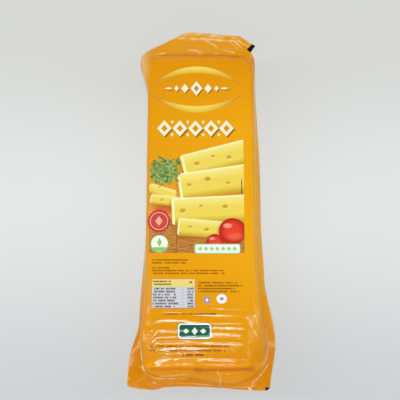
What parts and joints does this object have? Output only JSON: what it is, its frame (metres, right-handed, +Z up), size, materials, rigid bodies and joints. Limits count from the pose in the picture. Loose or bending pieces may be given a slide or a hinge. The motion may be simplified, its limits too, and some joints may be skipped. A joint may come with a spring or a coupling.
{
  "type": "vacuum-packed cheese loaf",
  "caption": "Long square-section block of yellow cheese, vacuum packed in glossy orange printed film with a sealed flange all round.",
  "frame": {"origin": "under the middle of the pack's box, on the surface that it rests on", "axes": "+Z up, +Y along the loaf towards its flapped end, +X to the right when the print is read"},
  "size_m": [0.1338, 0.3434, 0.099],
  "materials": {
    "film": "glossy printed packaging film"
  },
  "bodies": {
    "root": {"wrapped_loaf": "film"}
  },
  "joints": []
}
